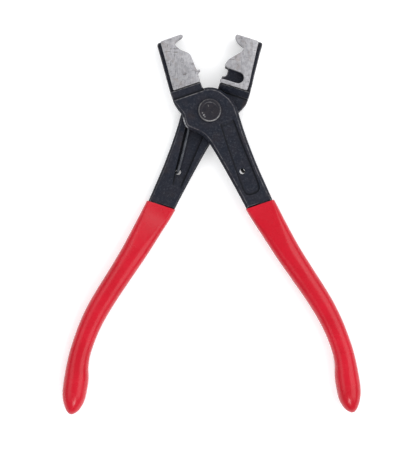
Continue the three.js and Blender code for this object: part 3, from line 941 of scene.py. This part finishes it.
def paint_scuffs_and_highlights(mesh, turn, spots):
    """Stores patches painted near-white, as highlights and as rubbed metal: each spot is (x, y, z,
    radius, strength) in the open pose.
    """
    turned = coordinates(mesh) @ np.array(Matrix.Rotation(turn, 3, "Z")).T
    total = np.zeros(len(turned))
    for x, y, z, radius, strength in spots:
        distance = np.linalg.norm(turned - (x, y, z), axis=1)
        total += strength * np.exp(-(distance / radius) ** 2)
    store(mesh, "scuff", np.clip(total, 0, 1))


def distance_to(outline, x, y):
    """Distance in plan from each point to the nearest side of an outline."""
    corners = np.array(outline, float)
    nearest = np.full(len(x), np.inf)
    for start, end in zip(corners, np.roll(corners, -1, 0)):
        along = end - start
        share = ((x - start[0]) * along[0] + (y - start[1]) * along[1]) / np.dot(along, along)
        share = np.clip(share, 0, 1)
        gap = np.hypot(x - start[0] - along[0] * share, y - start[1] - along[1] * share)
        nearest = np.minimum(nearest, gap)
    return nearest


# Rims that are rubbed less: how far from each the rub is at its least, and that least share.
HOLE_RIM, HOLE_LEAST = 1.4, 0.25
RECESS_RIM, RECESS_LEAST = 0.3, 0.2
POCKET_LEAST = 0.45
RECESS_FROM_Y = -11
MATING_REACH = 2.6


def quiet_edges(mesh, mirror):
    """The rims of the spring's hole and recess and of the pocket keep most of their scale."""
    x, y, z = coordinates(mesh).T
    x = x * mirror
    on_mating_face = np.abs(z - MID_Z) < MATING_REACH
    layer = mesh.attributes["edge"]
    edge = np.empty(len(mesh.vertices), np.float32)
    layer.data.foreach_get("value", edge)
    from_hole = np.hypot(x - SPRING_HOLE[0], y - SPRING_HOLE[1])
    edge *= np.clip(from_hole - HOLE_RIM, HOLE_LEAST, 1)
    for outline in (RECESS_ROOM, RECESS_RUNOUT):
        kept = np.clip(distance_to(outline, x, y) - RECESS_RIM, RECESS_LEAST, 1)
        edge *= np.where(on_mating_face & (y < RECESS_FROM_Y), kept, 1)
    kept = np.clip(distance_to(pocket_outline(), x, y), POCKET_LEAST, 1)
    edge *= np.where(on_mating_face, 1, kept)
    layer.data.foreach_set("value", edge)


# Painted highlights: one by the rear arm's spring hole, and a row along the front arm's waist,
# where rubbed metal is painted bright as a highlight.
REAR_HOLE_HIGHLIGHT = [(-15.0, -27.0, 4.6, 0.25, 0.8)]
FRONT_WAIST_RUB_AND_HIGHLIGHT = [
    (-11.5, -3.6, 9.9, 0.5, 0.4), (-11.2, -4.6, 9.9, 0.5, 0.6), (-10.7, -5.7, 9.9, 0.5, 0.6),
    (-10.1, -6.8, 9.9, 0.5, 0.5), (-9.7, -7.6, 9.9, 0.4, 0.3),
]


def build_arms():
    """The two forgings, each marked with its rubbed edges, painted crease shade, and scuffs
    painted near-white as highlights.
    """
    metal = black_oxide()
    for make, name, turn, rides, spots, mirror in (
        (front_arm, "front_arm", FRONT_OPEN, "front_side", FRONT_WAIST_RUB_AND_HIGHLIGHT, 1),
        (rear_arm, "rear_arm", REAR_OPEN, "rear_side", REAR_HOLE_HIGHLIGHT, -1),
    ):
        body = forge(make())
        mark_edges(body.data)
        quiet_edges(body.data, mirror)
        paint_scuffs_and_highlights(body.data, turn, spots)
        place(body, name + "_forging", turn, metal, "black_oxide_arm", rides, name)


def build_plates():
    steel = ground_steel()
    front = profiled_prism(front_plate_outline(), PLATE_PROFILE)
    rear = profiled_prism(rear_plate_outline(True), PLATE_PROFILE)
    place(front, "front_plate_ground", FRONT_OPEN, steel, "ground_steel", "front_side",
          "front_jaw_plate")
    place(rear, "rear_plate_ground", REAR_OPEN, steel, "ground_steel", "rear_side",
          "rear_jaw_plate")


def build_grips():
    vinyl = red_pvc()
    lap_low = MID_Z + LAP_GAP / 2
    front = Matrix.Translation((0, 0, lap_low))
    rear = Matrix.Translation((0, 0, MID_Z - LAP_GAP / 2)) @ Matrix.Rotation(math.pi, 4, "Y")
    place(move(grip_skin(grip(), 3), front), "right_grip_sleeve", FRONT_OPEN, vinyl, "red_pvc",
          "front_side", "right_grip")
    place(move(grip_skin(grip(), 8), rear), "left_grip_sleeve", REAR_OPEN, vinyl, "red_pvc",
          "rear_side", "left_grip")


def build_rivet():
    body = rivet()
    mark_rivet_wear_and_highlight(body.data)
    place(body, "rivet_turned", 0, rivet_steel(), "rivet_steel", "rear_side", "pivot_rivet")


def build_spring():
    wire = spring()
    path = np.array(spring_path())
    place_of = coordinates(wire.data)
    ends = [np.linalg.norm(place_of - end, axis=1) for end in (path[0], path[-1])]
    # Painted shade: near-black within reach of either end, fading out beyond.
    store(wire.data, "painted_end_shade", np.clip(PAINTED_SHADE_END_REACH - np.minimum(*ends), 0, 1))
    body = place(wire, "return_spring_wire", 0, spring_wire(), "spring_wire", None,
                 "return_spring")
    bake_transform(body)


# ---------- Studio ----------
FLOOR_REACH = 8.0
TARGET = (0, -0.05, 0)
# Name, place, size in metres and watts of each lamp.
SOFT_BOXES = [
    ("left_box", (-0.74, -0.05, 0.80), (1.2, 0.65), 3.4),
    ("right_box", (0.74, -0.05, 0.80), (1.5, 0.90), 9.0),
    ("far_box", (0, 0.56, 0.92), (1.5, 0.70), 4.9),
    ("near_box", (0.05, -0.80, 0.72), (0.30, 0.20), 2.6),
]
AMBIENT_COLOUR = (0.94, 0.96, 1.0, 1)
AMBIENT_STRENGTH = 0.42
CAMERA_PLACE = (-0.00141, -0.05016)
CAMERA_DISTANCE = 0.830
VIEW_HEIGHT = 0.198
SENSOR_WIDTH = 36
MATING_HEIGHT = 0.006


def build_floor():
    shape = bmesh.new()
    for a, b in ((-1, -1), (1, -1), (1, 1), (-1, 1)):
        shape.verts.new((a * FLOOR_REACH, b * FLOOR_REACH, 0))
    shape.faces.new(shape.verts)
    mesh = bpy.data.meshes.new("floor")
    shape.to_mesh(mesh)
    shape.free()
    floor = new_object(mesh, "studio_floor")
    floor.data.materials.append(floor_paint())


def soft_box(name, place_at, size, watts):
    """A rectangular lamp facing the middle of the tool."""
    light = bpy.data.lights.new(name, "AREA")
    light.shape = "RECTANGLE"
    light.size, light.size_y = size
    light.energy = watts
    lamp = bpy.data.objects.new(name, light)
    bpy.context.scene.collection.objects.link(lamp)
    lamp.location = place_at
    direction = Vector(TARGET) - Vector(place_at)
    lamp.rotation_euler = direction.to_track_quat("-Z", "Y").to_euler()
    lamp.visible_camera = False


def build_lights():
    for box in SOFT_BOXES:
        soft_box(*box)
    world = bpy.data.worlds.new("studio")
    world.use_nodes = True
    background = world.node_tree.nodes["Background"]
    background.inputs["Color"].default_value = AMBIENT_COLOUR
    background.inputs["Strength"].default_value = AMBIENT_STRENGTH
    bpy.context.scene.world = world


def build_camera():
    """Straight above, framing VIEW_HEIGHT metres at the height of the mating faces."""
    camera = bpy.data.cameras.new("camera")
    camera.sensor_width = SENSOR_WIDTH
    camera.lens = SENSOR_WIDTH * CAMERA_DISTANCE / VIEW_HEIGHT
    holder = bpy.data.objects.new("camera", camera)
    bpy.context.scene.collection.objects.link(holder)
    holder.location = (*CAMERA_PLACE, CAMERA_DISTANCE + MATING_HEIGHT)
    bpy.context.scene.camera = holder
    bpy.context.scene.view_settings.view_transform = "Standard"


build_floor()
build_lights()
build_camera()
build_arms()
build_plates()
build_grips()
build_rivet()
build_spring()
